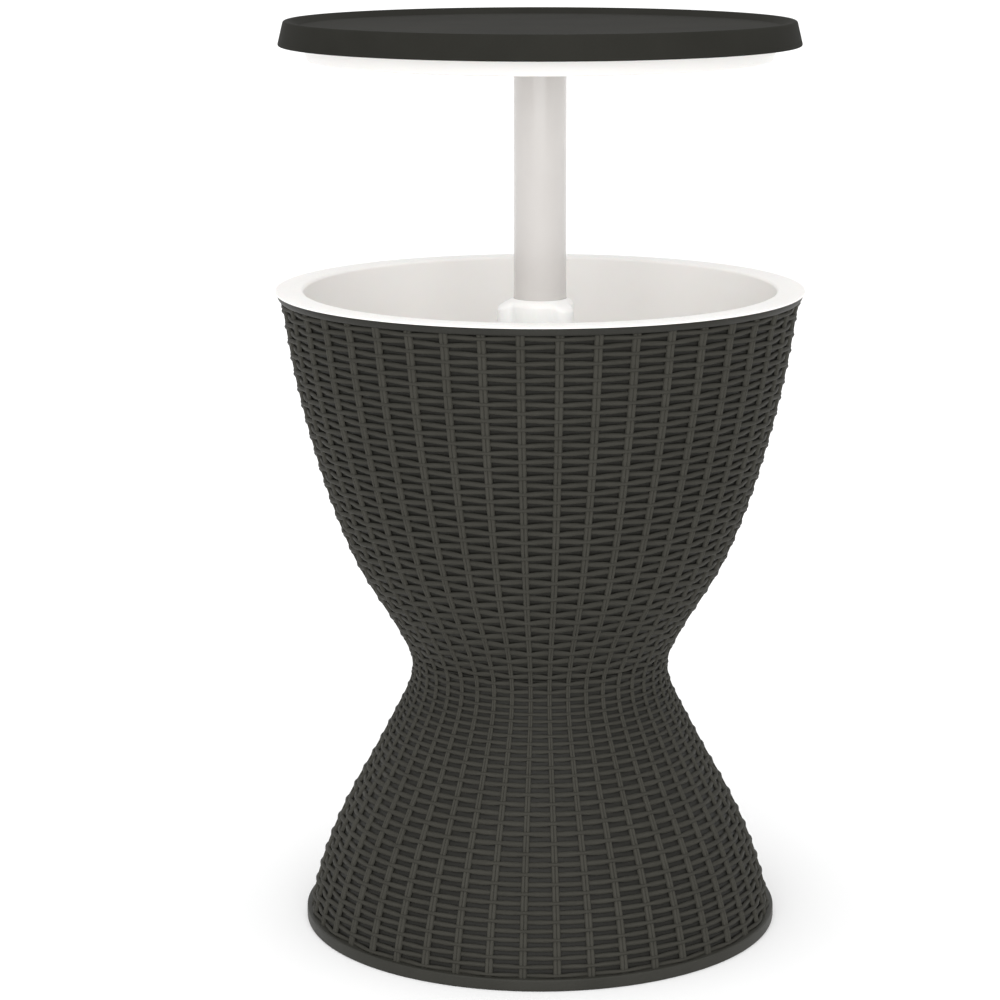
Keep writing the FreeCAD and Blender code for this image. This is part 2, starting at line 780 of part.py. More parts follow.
PIECES = (
    ("lower_shell", make_lower_shell),
    ("lower_shell_neck", make_lower_shell_neck),
    ("lower_web", make_lower_web),
    ("upper_shell_neck", make_upper_shell_neck),
    ("upper_shell", make_upper_shell),
    ("waist_screws", make_waist_screws),
    ("guide_tube", make_guide_tube),
    ("guide_tube_screws", make_guide_tube_screws),
    ("liner", make_liner),
    ("liner_bowl", make_liner_bowl),
    ("liner_column", make_liner_column),
    ("guide_collar", make_guide_collar),
    ("drain_spout", make_drain_spout),
    ("drain_gasket", make_drain_gasket),
    ("drain_nut", make_drain_nut),
    ("drain_plug", make_drain_plug),
    ("lock_shoe", make_lock_shoe),
    ("pole", make_pole),
    ("pole_end_plug", make_pole_end_plug),
    ("shoe_washer", make_shoe_washer),
    ("shoe_screw", make_shoe_screw),
    ("table_top", make_table_top),
    ("lid_pan", make_lid_pan),
    ("lid_pan_screws", make_lid_pan_screws),
    ("pole_socket", make_pole_socket),
    ("pole_socket_screws", make_pole_socket_screws),
    ("pole_pin", make_pole_pin),
)

os.makedirs("parts", exist_ok=True)
for name, make in PIECES:
    shape = make()
    shape.exportStep("parts/" + name + ".step")
    box = shape.BoundBox
    print(name, len(shape.Solids), "solid(s)", shape.isValid(), round(shape.Volume / 1000.0, 2), "cm3",
          [round(value, 2) for value in (box.XMin, box.XMax, box.YMin, box.YMax, box.ZMin, box.ZMax)])
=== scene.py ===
"""Cooler table with a raised lid: woven shells, bucket, mast, lid, floor, light and camera.

Lengths are in metres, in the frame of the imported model: +Z up, the origin on the floor under
the pole, and -Y towards the camera.
"""
import math

import bpy
import numpy as np
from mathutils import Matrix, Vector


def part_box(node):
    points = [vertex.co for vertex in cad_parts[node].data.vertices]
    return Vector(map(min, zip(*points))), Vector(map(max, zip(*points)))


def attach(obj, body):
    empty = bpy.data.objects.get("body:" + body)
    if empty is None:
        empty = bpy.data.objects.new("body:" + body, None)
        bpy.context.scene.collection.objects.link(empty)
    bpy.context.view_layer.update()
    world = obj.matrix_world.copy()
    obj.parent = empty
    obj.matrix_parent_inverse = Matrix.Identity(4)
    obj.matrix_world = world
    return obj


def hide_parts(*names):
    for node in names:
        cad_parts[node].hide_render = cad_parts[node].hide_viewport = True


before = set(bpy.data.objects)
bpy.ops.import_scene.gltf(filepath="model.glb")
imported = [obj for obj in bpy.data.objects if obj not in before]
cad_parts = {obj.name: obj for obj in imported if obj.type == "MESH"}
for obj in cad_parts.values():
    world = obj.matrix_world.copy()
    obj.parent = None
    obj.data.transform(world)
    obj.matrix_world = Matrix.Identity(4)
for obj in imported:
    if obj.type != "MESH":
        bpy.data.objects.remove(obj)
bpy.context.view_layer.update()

MM = 0.001
FULL_TURN = 2 * math.pi

# Camera
IMAGE_WIDTH = 1000
FOCAL_PIXELS = 3089.43
SENSOR_WIDTH = 36.0
CAMERA_DISTANCE = 2.83415
CAMERA_HEIGHT = 0.99783
CAMERA_PITCH = 0.207135
AXIS_OFFSET_PIXELS = 40.1
CLIP_END = 200.0

# Floor and light
FLOOR_SIZE = 120.0
WORLD_STRENGTH = 0.86
KEY_FROM = (-0.1, -2.3, 0.75)
KEY_STRENGTH = 1.6
TOP_FROM = (-0.1, -0.4, 2.3)
TOP_STRENGTH = 0.9
SUN_WIDTH = math.radians(60)

# Weave
# A share is the part of the spacing of stakes or strands that one of them fills, but the back's
# share is of the stake's own width. Crests and depths are square to the weave's middle surface.
STAKE_COUNT = 44
FIRST_STAKE = math.radians(4.08)
STAKE_STEP = FULL_TURN / STAKE_COUNT
STAKE_SHARE = 0.245
STAKE_BACK_SHARE = 0.6
ROD_SIDES = 6
STAKE_BACK_SIDES = 3
FOOT_STAKE_LEVELS = 66
BOWL_STAKE_LEVELS = 84
STAKE_CREST = 0.2 * MM
STAKE_THICK = 2.6 * MM
STAKE_VALLEY = 1.0 * MM
STAKE_BACK = 0.4 * MM
STRAND_STEPS = 8 * STAKE_COUNT
STRAND_SIDES = 10
BOWL_STRAND_SHARE = 0.66
FOOT_STRAND_SHARE = 0.62
# A strand's share shrinks by the pinch where it passes in front of a stake.
STRAND_PINCH = 0.22
STRAND_PINCH_POWER = 3
STRAND_DEPTH = 2.6 * MM
STRAND_BACK = 0.4 * MM
STRAND_SWING = 1.5 * MM
STRAND_CREST = 0.1 * MM
STRAND_DEEPEST = 3.9 * MM
BACKING_DROP = 3.4 * MM
RELIEF_RADIUS = 195.0 * MM
LOWER_ROWS = 34
END_ROW_PITCH = 7.4 * MM
# Numbers and heights of some rows of strands; the rows between them are spaced smoothly.
ROW_HEIGHTS = (
    (0, 0.0129), (10, 0.0902), (17, 0.1471), (22, 0.1845), (27, 0.2165), (31, 0.2411),
    (34, 0.2633), (40, 0.3142), (50, 0.3966), (60, 0.4732), (68, 0.5326), (76, 0.5912),
)
LAST_ROW = ROW_HEIGHTS[-1][0]

# Smooth parts of the shells
WALL_STATIONS = 90
WALL_LEAST = 113.0 * MM
INWARD_FACING = -0.3
TILT_REACH = 3.0 * MM
LEAST_TILT = 0.5
WEAVE_DEPTH = 4.2 * MM
FOOT_OUTER_STEPS = 60
FOOT_INNER_STEPS = 40
BOWL_OUTER_STEPS = 80
BOWL_INNER_STEPS = 60
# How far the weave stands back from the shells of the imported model, at each height.
WEAVE_SETBACK = (
    (0.011, 0.0032), (0.045, 0.0031), (0.075, 0.0022), (0.105, 0.0010), (0.130, 0.0007),
    (0.170, 0.0013), (0.225, 0.0013), (0.260, 0.0009), (0.310, 0.0), (0.375, 0.0008),
    (0.430, 0.0), (0.580, 0.0), (0.589, -0.0012), (0.602, -0.0016),
)
FOOT_BAND = 11.0 * MM
FOOT_ROUND = 1.5 * MM
BAND_STEP = 0.5 * MM
SEAM_GROOVE = 1.6 * MM
# Height over which the painted shade in the weave's gaps fades in, at the foot band and at the lip.
PAINTED_SHADE_BLEND = 1.0 * MM
WEB_THICK = 3.0 * MM
FOOT_RING_WIDTH = 14.0 * MM
LIP_HEIGHT = 6.9 * MM
LIP_STEP = 3.4 * MM
LIP_ROUND = 1.2 * MM

# Bucket, column and collar
MOUTH_ROUND = 3.0 * MM
RIM_ROUND = 0.7 * MM
RIM_UNDER_ROUND = 0.3 * MM
LINER_WALL = 3.0 * MM
BUCKET_FLOOR_RADIUS = 112.0 * MM
BUCKET_MOUTH_RADIUS = 218.0 * MM
# Heights and inner radii of the bucket's wall between its floor and its mouth.
BUCKET_WALL = ((0.340, 0.150), (0.430, 0.187), (0.530, 0.2084))
BUCKET_STEPS = 40
LOBE_ANGLES = tuple(math.radians(angle) for angle in (73.0, 193.0, 313.0))
GUIDE_RADIUS = 25.3 * MM
KEY_REACH = 34.5 * MM
KEY_HALF_WIDTH = 5.0 * MM
COLUMN_INNER_GROWTH = 2.8 * MM
COLUMN_OUTER_GROWTH = 4.8 * MM
COLUMN_FOOT_SINK = 0.5 * MM
# Heights above the bucket's floor, and spreads, of the fillet round the column's foot.
COLUMN_FILLET = ((0.2 * MM, 2.5 * MM), (1.5 * MM, 0.8 * MM), (5.0 * MM, 0.0))
HOLLOW_REACH = 5.0 * MM
COLLAR_INNER_GROWTH = 5.1 * MM
COLLAR_OUTER_GROWTH = 5.8 * MM
COLLAR_SLOPE = 0.46
COLLAR_CROWN_RADIUS = 26.0 * MM
COLLAR_CAP_RADIUS = 20.0 * MM
COLLAR_ROUND = 4.0 * MM
LOBE_SIDES = 168
LOBE_SHARPNESS = 16.0

# Drain
DRAIN_PLACE = (0.0, 72.0 * MM)
DRAIN_BUCKET_HOLE = 8.1 * MM
DRAIN_WEB_HOLE = 9.0 * MM

# Pole and lid
POLE_WALL = 2.2 * MM
POLE_GAP = 0.35 * MM
POLE_EDGE_ROUND = 0.5 * MM
POLE_INNER_ROUND = 0.2 * MM
POLE_STEPS = 96
SKIRT_HEIGHT = 22.3 * MM
SKIRT_WALL = 3.0 * MM
SKIRT_TAPER = 5.4 * MM
SKIRT_EDGE_ROUND = 1.4 * MM
SKIRT_INNER_ROUND = 0.6 * MM
SKIRT_ROOT_ROUND = 0.8 * MM
TRAY_RIM_WIDTH = 5.0 * MM
TRAY_RIM_OUTER_ROUND = 2.4 * MM
TRAY_RIM_INNER_ROUND = 2.0 * MM
TRAY_FLOOR_ROUND = 3.0 * MM
TRAY_SLOPE_WIDTH = 8.0 * MM
TRAY_DEPTH = 5.5 * MM
TRAY_FLOOR = 3.0 * MM
PAN_HOLE = 24.6 * MM
PAN_WALL = 2.5 * MM
PAN_TAPER = 4.5 / 14.2
PAN_RADIUS = 211.5 * MM
PAN_EDGE_ROUND = 3.5 * MM
PAN_INNER_ROUND = 1.5 * MM
PAN_HOLE_ROUNDS = (0.5 * MM, 0.3 * MM)
PAN_SCREW_COUNT = 6
PAN_SCREW_CIRCLE = 150.0 * MM
PAN_SCREW_HEAD = 3.95 * MM
PAN_SCREW_SHANK = 2.3 * MM
PAN_SCREW_SEAT = 1.65 * MM

# Meshes
TURN_STEPS = 180
ROUND_STEPS = 6
ARC_STEPS = 8
BORE_SIDES = 64
SMOOTH_ANGLE = 35.0
STAKE_SMOOTH_ANGLE = 60.0
COLLAR_SMOOTH_ANGLE = 50.0
MERGE_REACH = 0.01 * MM
CUT_REACH = 0.1 * MM
QUARTER_TURN = np.linspace(0, math.pi / 2, ARC_STEPS + 1)


def deselect():
    bpy.ops.object.select_all(action="DESELECT")


def vertex_places(mesh):
    """Places of a mesh's vertices, as rows of x, y and z."""
    places = np.empty(len(mesh.vertices) * 3)
    mesh.vertices.foreach_get("co", places)
    return places.reshape(-1, 3)


def move_vertices(mesh, places):
    mesh.vertices.foreach_set("co", places.ravel())
    mesh.update()


def ends(node):
    """Lowest and highest height of a CAD node."""
    low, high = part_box(node)
    return low[2], high[2]


def widest(node):
    """Largest radius of a CAD node about the pole's axis."""
    places = vertex_places(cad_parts[node].data)
    return float(np.hypot(places[:, 0], places[:, 1]).max())


def smooth_curve(anchors, values):
    """Smooth curve through (place, value) anchors, read at the given places."""
    x = np.array([anchor[0] for anchor in anchors], float)
    y = np.array([anchor[1] for anchor in anchors], float)
    slope = np.gradient(y, x)
    values = np.clip(np.asarray(values, float), x[0], x[-1])
    index = np.clip(np.searchsorted(x, values, side="right") - 1, 0, len(x) - 2)
    step = x[index + 1] - x[index]
    t = (values - x[index]) / step
    start = (1 + 2 * t) * (1 - t) ** 2 * y[index] + t * (1 - t) ** 2 * step * slope[index]
    end = t * t * (3 - 2 * t) * y[index + 1] + t * t * (t - 1) * step * slope[index + 1]
    return start + end


def weave_outline(nodes, bottom, top):
    """Middle surface of the weave as (height, radius) pairs, from the CAD shells' inner wall."""
    places = []
    for node in nodes:
        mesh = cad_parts[node].data
        for face in mesh.polygons:
            reach = math.hypot(face.center.x, face.center.y)
            facing = (face.normal.x * face.center.x + face.normal.y * face.center.y) / reach
            if facing < INWARD_FACING and reach > WALL_LEAST:
                places += [mesh.vertices[index].co for index in face.vertices]
    heights, radii = zip(*sorted((place.z, math.hypot(place.x, place.y)) for place in places))
    stations = np.linspace(bottom, top, WALL_STATIONS)
    setback = np.interp(stations, *zip(*WEAVE_SETBACK))
    return list(zip(stations, np.interp(stations, heights, radii) + WEAVE_DEPTH - setback))


def rounded(corners, closed=True):
    """Outline from (radius, height, rounding) corners, with an arc at each rounded one."""
    outline = []
    count = len(corners)
    for index, (radius, height, rounding) in enumerate(corners):
        here = np.array((radius, height))
        if rounding == 0:
            outline.append((radius, height))
            continue
        before = np.array(corners[index - 1][:2]) - here
        after = np.array(corners[(index + 1) % count][:2]) - here
        before /= np.linalg.norm(before)
        after /= np.linalg.norm(after)
        half = math.acos(float(np.clip(before @ after, -1, 1))) / 2
        middle = (before + after) / np.linalg.norm(before + after)
        centre = here + middle * rounding / math.sin(half)
        start = here + before * rounding / math.tan(half) - centre
        end = here + after * rounding / math.tan(half) - centre
        sweep = math.pi - 2 * half
        for share in np.linspace(0, 1, ROUND_STEPS + 1):
            place = centre + (math.sin((1 - share) * sweep) * start
                              + math.sin(share * sweep) * end) / math.sin(sweep)
            outline.append((float(place[0]), float(place[1])))
    if closed:
        outline.append(outline[0])
    return outline


def name_piece(name):
    piece = bpy.context.object
    piece.name = name
    piece.data.name = name
    return piece


def select_only(piece):
    deselect()
    piece.select_set(True)
    bpy.context.view_layer.objects.active = piece


def smooth(piece, angle=SMOOTH_ANGLE):
    select_only(piece)
    bpy.ops.object.shade_smooth_by_angle(angle=math.radians(angle))


def turn_normals_outwards():
    """In edit mode, makes all faces look outwards, and leaves edit mode."""
    bpy.ops.mesh.select_all(action="SELECT")
    bpy.ops.mesh.normals_make_consistent(inside=False)
    bpy.ops.object.mode_set(mode="OBJECT")


def lathe(name, outline, steps=TURN_STEPS):
    """A turned piece: one vertex is extruded along the outline, then spun about the pole's axis."""
    deselect()
    bpy.ops.mesh.primitive_plane_add(size=MM)
    piece = name_piece(name)
    bpy.ops.object.mode_set(mode="EDIT")
    bpy.ops.mesh.merge(type="CENTER")
    bpy.ops.transform.translate(value=(outline[0][0], 0, outline[0][1]))
    for (radius, height), (next_radius, next_height) in zip(outline, outline[1:]):
        bpy.ops.mesh.extrude_region_move(
            TRANSFORM_OT_translate={"value": (next_radius - radius, 0, next_height - height)})
    bpy.ops.mesh.select_all(action="SELECT")
    bpy.ops.mesh.spin(steps=steps, angle=FULL_TURN, center=(0, 0, 0), axis=(0, 0, 1))
    bpy.ops.mesh.select_all(action="SELECT")
    bpy.ops.mesh.remove_doubles(threshold=MERGE_REACH)
    turn_normals_outwards()
    smooth(piece)
    return piece


def ringed_bar(name, sides, levels):
    """A closed bar with a ring of vertices at each whole height from 0 to the number of levels."""
    deselect()
    bpy.ops.mesh.primitive_circle_add(vertices=sides, radius=1.0, fill_type="NGON")
    piece = name_piece(name)
    bpy.ops.object.mode_set(mode="EDIT")
    bpy.ops.mesh.select_all(action="SELECT")
    for _ in range(levels):
        bpy.ops.mesh.extrude_region_move(TRANSFORM_OT_translate={"value": (0, 0, 1)})
    turn_normals_outwards()
    return piece


def joined_copies(first, copies_places):
    """Copies a piece, gives each copy its own vertex places, and joins them all as one piece."""
    mesh = first.data
    copies = [first]
    for places in copies_places[1:]:
        copy = first.copy()
        copy.data = mesh.copy()
        bpy.context.collection.objects.link(copy)
        move_vertices(copy.data, places)
        copies.append(copy)
    move_vertices(mesh, copies_places[0])
    deselect()
    for copy in copies:
        copy.select_set(True)
    bpy.context.view_layer.objects.active = first
    bpy.ops.object.join()
    bpy.ops.object.mode_set(mode="EDIT")
    turn_normals_outwards()
    return first


def lobed_radius(angle, growth):
    """Outline of the guide, which is round with three lobes, grown outwards by one amount."""
    half = KEY_HALF_WIDTH + growth
    centre = KEY_REACH - KEY_HALF_WIDTH
    total = np.full_like(angle, (GUIDE_RADIUS + growth) ** LOBE_SHARPNESS)
    for lobe in LOBE_ANGLES:
        offset = np.abs((angle - lobe + math.pi) % FULL_TURN - math.pi)
        side = half / np.maximum(np.sin(offset), 1e-6)
        inside = np.maximum(half ** 2 - (centre * np.sin(offset)) ** 2, 0)
        tip = centre * np.cos(offset) + np.sqrt(inside)
        reach = np.where(side * np.cos(offset) < centre, side, tip)
        reach = np.where(offset < math.pi / 2, reach, 0)
        total = total + reach ** LOBE_SHARPNESS
    return total ** (1 / LOBE_SHARPNESS)


def lobed_stack(name, levels, cap_radius=None):
    """A closed bar of lobed outline, whose levels are heights, growths and downward slopes.

    With a cap radius the last level is a circle of that radius.
    """
    piece = ringed_bar(name, LOBE_SIDES, len(levels) - 1)
    places = vertex_places(piece.data)
    angle = np.arctan2(places[:, 1], places[:, 0])
    ring = np.round(places[:, 2]).astype(int)
    for index, (height, growth, slope) in enumerate(levels):
        here = ring == index
        radius = lobed_radius(angle[here], growth)
        if cap_radius and index == len(levels) - 1:
            radius = np.full_like(radius, cap_radius)
        places[here, 0] = radius * np.cos(angle[here])
        places[here, 1] = radius * np.sin(angle[here])
        places[here, 2] = height - slope * radius
    move_vertices(piece.data, places)
    return piece


def apply_boolean(piece, tool, operation):
    select_only(piece)
    change = piece.modifiers.new("change", "BOOLEAN")
    change.operation = operation
    change.solver = "EXACT"
    change.object = tool
    bpy.ops.object.modifier_apply(modifier=change.name)
    bpy.data.objects.remove(tool, do_unlink=True)


def bore(piece, radius, low, high, place=(0.0, 0.0)):
    """Cuts an upright round hole in a piece."""
    deselect()
    bpy.ops.mesh.primitive_cylinder_add(vertices=BORE_SIDES, radius=radius, depth=high - low,
                                        location=(*place, (low + high) / 2))
    apply_boolean(piece, bpy.context.object, "DIFFERENCE")


def countersink(piece, head_radius, shank_radius, low, depth, place):
    """Cuts the cone for a screw head into the underside of a piece."""
    deselect()
    slope = (head_radius - shank_radius) / depth
    bpy.ops.mesh.primitive_cone_add(vertices=BORE_SIDES, radius1=head_radius + slope * CUT_REACH,
                                    radius2=shank_radius, depth=depth + CUT_REACH,
                                    location=(*place, low + (depth - CUT_REACH) / 2))
    apply_boolean(piece, bpy.context.object, "DIFFERENCE")


class Signal:
    """A node socket that takes part in Python arithmetic by adding Math nodes."""

    def __init__(self, finish, socket):
        self.finish = finish
        self.socket = socket

    def math(self, operation, *others):
        sockets = dict(enumerate((self, *others)))
        return self.finish.node("ShaderNodeMath", {"operation": operation}, sockets)[0]

    def __add__(self, other):
        return self.math("ADD", other)

    def __mul__(self, other):
        return self.math("MULTIPLY", other)


class Finish:
    """One material: a Principled shader, with helpers that add the nodes of its detail."""

    def __init__(self, name, **constants):
        self.material = bpy.data.materials.new(name)
        self.material.use_nodes = True
        self.tree = self.material.node_tree
        self.tree.nodes.clear()
        self.output = self.tree.nodes.new("ShaderNodeOutputMaterial")
        self.shader = self.tree.nodes.new("ShaderNodeBsdfPrincipled")
        self.tree.links.new(self.shader.outputs[0], self.output.inputs["Surface"])
        for key, value in constants.items():
            socket = key.replace("_", " ").title().replace("Ior", "IOR")
            self.shader.inputs[socket].default_value = value

    def node(self, kind, settings=None, sockets=None):
        """Adds a node: its settings are set first, then its sockets' values or links."""
        made = self.tree.nodes.new(kind)
        for key, value in (settings or {}).items():
            setattr(made, key, value)
        for key, value in (sockets or {}).items():
            if isinstance(value, Signal):
                self.tree.links.new(value.socket, made.inputs[key])
            else:
                made.inputs[key].default_value = value
        return [Signal(self, socket) for socket in made.outputs]

    def feed(self, socket, signal):
        self.tree.links.new(signal.socket, self.shader.inputs[socket])

    def place(self):
        return self.node("ShaderNodeTexCoord")[3]

    def axes(self):
        return self.node("ShaderNodeSeparateXYZ", None, {0: self.place()})

    def around(self):
        """Angle about the pole, distance from it and height, as numbers."""
        x, y, z = self.axes()
        angle = y.math("ARCTAN2", x)
        distance = (x * x + y * y).math("SQRT")
        return angle, distance, z

    def vector(self, x, y, z):
        return self.node("ShaderNodeCombineXYZ", None, {0: x, 1: y, 2: z})[0]

    def noise(self, where, scale, detail, roughness):
        sockets = {"Vector": where, "Scale": scale, "Detail": detail, "Roughness": roughness}
        return self.node("ShaderNodeTexNoise", {"noise_dimensions": "3D"}, sockets)[0]

    def blend(self, factor, first, second):
        """Mixes two colours, each given as a signal or as red, green and blue."""
        first, second = ((*colour, 1.0) if isinstance(colour, tuple) else colour
                         for colour in (first, second))
        return self.node("ShaderNodeMix", {"data_type": "RGBA"}, {0: factor, 6: first, 7: second})[2]

    def between(self, signal, low, high, to_low=0.0, to_high=1.0):
        """Stretches the range from low to high of a signal to another range, and stops at its ends."""
        sockets = {0: signal, 1: low, 2: high, 3: to_low, 4: to_high}
        return self.node("ShaderNodeMapRange", None, sockets)[0]

    def bump(self, height, distance, strength=1.0, normal=None):
        sockets = {"Height": height, "Distance": distance, "Strength": strength}
        if normal is not None:
            sockets["Normal"] = normal
        return self.node("ShaderNodeBump", None, sockets)[0]


def woven_finish(name, upright, brightness):
    """Anthracite resin of the weave, with faint streaks along each strand or upright stake."""
    finish = Finish(name, specular_ior_level=0.04)
    angle, distance, height = finish.around()
    if upright:
        streak_place = finish.vector(angle * 700.0, distance * 500.0, height * 24.0)
    else:
        streak_place = finish.vector(angle * 5.0, distance * 900.0, height * 900.0)
    streaks = finish.noise(streak_place, 1.0, 3.0, 0.6)
    patches = finish.noise(finish.place(), 26.0, 3.0, 0.55)
    grain = finish.noise(finish.place(), 1500.0, 2.0, 0.6)
    tone = patches * 0.35 + streaks * 0.65
    # The brightness scales the resin's colours; the stakes' higher brightness than the strands' is
    # painted light.
    dark, light = (tuple(brightness * value for value in colour) for colour in WEAVE_COLOURS)
    finish.feed("Base Color", finish.blend(finish.between(tone, 0.3, 0.7), dark, light))
    finish.feed("Roughness", finish.between(streaks, 0.3, 0.7, 0.44, 0.6))
    relief = finish.bump(grain, 0.03 * MM, 0.5)
    finish.feed("Normal", finish.bump(streaks, 0.16 * MM, 0.7, relief))
    return finish.material


def smooth_dark_finish(name, dark, light, shine, roughness_low, roughness_high, gap_shade=None):
    """Anthracite resin with a fine spark-eroded grain, for the lip, foot band and lid.

    A darker colour of painted shade takes its place between the foot band and the lip, on the wall
    seen in the shaded gaps of the weave.
    """
    finish = Finish(name, specular_ior_level=shine)
    grain = finish.noise(finish.place(), 1900.0, 2.0, 0.65)
    cloud = finish.noise(finish.place(), 14.0, 3.0, 0.5)
    specks = finish.noise(finish.place(), 640.0, 2.0, 0.6)
    tone = cloud * 0.7 + specks * 0.3
    colour = finish.blend(finish.between(tone, 0.35, 0.65), dark, light)
    # Painted shade: between the foot band and the lip the wall takes the darker colour, where the gaps
    # of the weave lie in shade.
    if gap_shade:
        height = finish.axes()[2]
        above_band = finish.between(height, FOOT_BAND, FOOT_BAND + PAINTED_SHADE_BLEND)
        below_lip = finish.between(height, LIP_LOW - PAINTED_SHADE_BLEND, LIP_LOW, 1.0, 0.0)
        colour = finish.blend(above_band * below_lip, colour, gap_shade)
    finish.feed("Base Color", colour)
    finish.feed("Roughness", finish.between(grain, 0.3, 0.7, roughness_low, roughness_high))
    coarse = finish.bump(cloud, 0.35 * MM, 0.12)
    finish.feed("Normal", finish.bump(grain, 0.035 * MM, 0.55, coarse))
    return finish.material


def pale_finish(name, light, dark, roughness):
    """White or pale resin with soft sink marks and a fine satin grain."""
    finish = Finish(name, ior=1.47, coat_weight=0.08, coat_roughness=0.25,
                    subsurface_weight=0.06, subsurface_scale=0.004)
    grain = finish.noise(finish.place(), 900.0, 2.0, 0.6)
    cloud = finish.noise(finish.place(), 9.0, 3.0, 0.5)
    finish.feed("Base Color", finish.blend(finish.between(cloud, 0.3, 0.7), dark, light))
    finish.feed("Roughness", finish.between(grain, 0.3, 0.7, roughness - 0.05, roughness + 0.06))
    coarse = finish.bump(cloud, 1.2 * MM, 0.05)
    finish.feed("Normal", finish.bump(grain, 0.02 * MM, 0.4, coarse))
    return finish.material


def pole_finish():
    """Light grey tube with faint draw lines along its length."""
    finish = Finish("drawn pole", ior=1.47, coat_weight=0.8, coat_roughness=0.12)
    angle, distance, height = finish.around()
    lines = finish.noise(finish.vector(angle * 60.0, distance * 40.0, height * 2.0), 1.0, 3.0, 0.6)
    cloud = finish.noise(finish.place(), 16.0, 3.0, 0.5)
    tone = finish.between(cloud, 0.3, 0.7)
    finish.feed("Base Color", finish.blend(tone, (0.590, 0.565, 0.546), (0.623, 0.600, 0.580)))
    finish.feed("Roughness", finish.between(lines, 0.3, 0.7, 0.34, 0.46))
    finish.feed("Normal", finish.bump(lines, 0.05 * MM, 0.35))
    return finish.material


def steel_finish():
    finish = Finish("plated steel", metallic=1.0)
    brush = finish.noise(finish.place(), 1400.0, 3.0, 0.7)
    finish.feed("Base Color", finish.blend(brush, (0.42, 0.42, 0.43), (0.62, 0.62, 0.63)))
    finish.feed("Roughness", finish.between(brush, 0.3, 0.7, 0.24, 0.42))
    finish.feed("Normal", finish.bump(brush, 0.02 * MM, 0.5))
    return finish.material


def rubber_finish():
    finish = Finish("black rubber", ior=1.5)
    bloom = finish.noise(finish.place(), 120.0, 4.0, 0.6)
    finish.feed("Base Color", finish.blend(bloom, (0.016, 0.016, 0.016), (0.035, 0.035, 0.034)))
    finish.feed("Roughness", finish.between(bloom, 0.3, 0.7, 0.62, 0.8))
    finish.feed("Normal", finish.bump(bloom, 0.05 * MM, 0.5))
    return finish.material


def floor_finish():
    finish = Finish("pale floor", roughness=0.9)
    cloud = finish.noise(finish.place(), 0.8, 4.0, 0.55)
    finish.feed("Base Color", finish.blend(cloud, (0.955, 0.955, 0.955), (0.97, 0.97, 0.97)))
    finish.feed("Roughness", finish.between(cloud, 0.3, 0.7, 0.85, 0.95))
    return finish.material


FOOT_NODES = ("lower_shell", "lower_shell_neck")
BOWL_NODES = ("upper_shell", "upper_shell_neck")
BUCKET_NODES = ("liner", "liner_bowl", "liner_column")
SEAM = ends("upper_shell_neck")[0]
SHELL_TOP = ends("upper_shell")[1]
LIP_LOW = SHELL_TOP - LIP_HEIGHT
WALL = weave_outline(FOOT_NODES + BOWL_NODES, FOOT_BAND, LIP_LOW)

WEAVE_COLOURS = ((0.0270, 0.0261, 0.0220), (0.0360, 0.0348, 0.0296))
# Painted shade for the wall in the gaps of the weave, darker than the resin's own colour.
PAINTED_GAP_SHADE = (0.0155, 0.0150, 0.0126)
# Painted light: the stakes' copy of the woven resin is lighter than the strands', though both are one
# resin.
STRAND_RESIN = woven_finish("woven resin strands", False, 1.28)
STAKE_RESIN = woven_finish("woven resin stakes", True, 1.48)
LIP_RESIN = smooth_dark_finish("lip resin", (0.0205, 0.0200, 0.0168), (0.0275, 0.0268, 0.0228),
                               0.15, 0.42, 0.56, PAINTED_GAP_SHADE)
FOOT_RESIN = smooth_dark_finish("foot resin", (0.0265, 0.0259, 0.0215), (0.0350, 0.0342, 0.0290),
                                0.15, 0.42, 0.56, PAINTED_GAP_SHADE)
LID_RESIN = smooth_dark_finish("lid resin", (0.0190, 0.0186, 0.0158), (0.0232, 0.0228, 0.0194),
                               0.035, 0.66, 0.76)
WHITE_RESIN = pale_finish("white resin", (0.885, 0.867, 0.845), (0.860, 0.842, 0.820), 0.32)
# Painted light: a lighter copy of the white resin, for the collar, which is the same resin as the
# bucket.
LIT_WHITE_RESIN = pale_finish("lit white resin", (0.925, 0.915, 0.90), (0.905, 0.895, 0.88), 0.32)
GREY_RESIN = pale_finish("grey resin", (0.50, 0.50, 0.49), (0.46, 0.46, 0.45), 0.45)
ACETAL = pale_finish("bearing resin", (0.80, 0.79, 0.74), (0.77, 0.76, 0.71), 0.25)
POLE_RESIN = pole_finish()
STEEL = steel_finish()
RUBBER = rubber_finish()

CAD_FINISHES = (
    (STEEL, ("waist_screws", "guide_tube_screws", "lid_pan_screws", "shoe_screw", "shoe_washer",
             "pole_socket_screws", "pole_pin")),
    (GREY_RESIN, ("drain_spout", "drain_nut", "guide_tube", "pole_end_plug", "pole_socket")),
    (WHITE_RESIN, (*BUCKET_NODES, "drain_plug", "lid_pan")),
    (FOOT_RESIN, (*FOOT_NODES, "lower_web")),
    (LIP_RESIN, BOWL_NODES),
    (RUBBER, ("drain_gasket",)),
    (ACETAL, ("lock_shoe",)),
    (LIT_WHITE_RESIN, ("guide_collar",)),
    (POLE_RESIN, ("pole",)),
    (LID_RESIN, ("table_top",)),
)


def paint(piece, material):
    piece.data.materials.clear()
    piece.data.materials.append(material)


def paint_cad_nodes():
    for material, nodes in CAD_FINISHES:
        for node in nodes:
            paint(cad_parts[node], material)


def finish_piece(piece, material, body, slot, *nodes):
    """Gives a piece its material and body, and hides the CAD nodes that it stands for. The slot is not
    used.
    """
    paint(piece, material)
    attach(piece, body)
    if nodes:
        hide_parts(*nodes)


def wall_radius(height):
    """Radius of the weave's middle surface."""
    return smooth_curve(WALL, height)


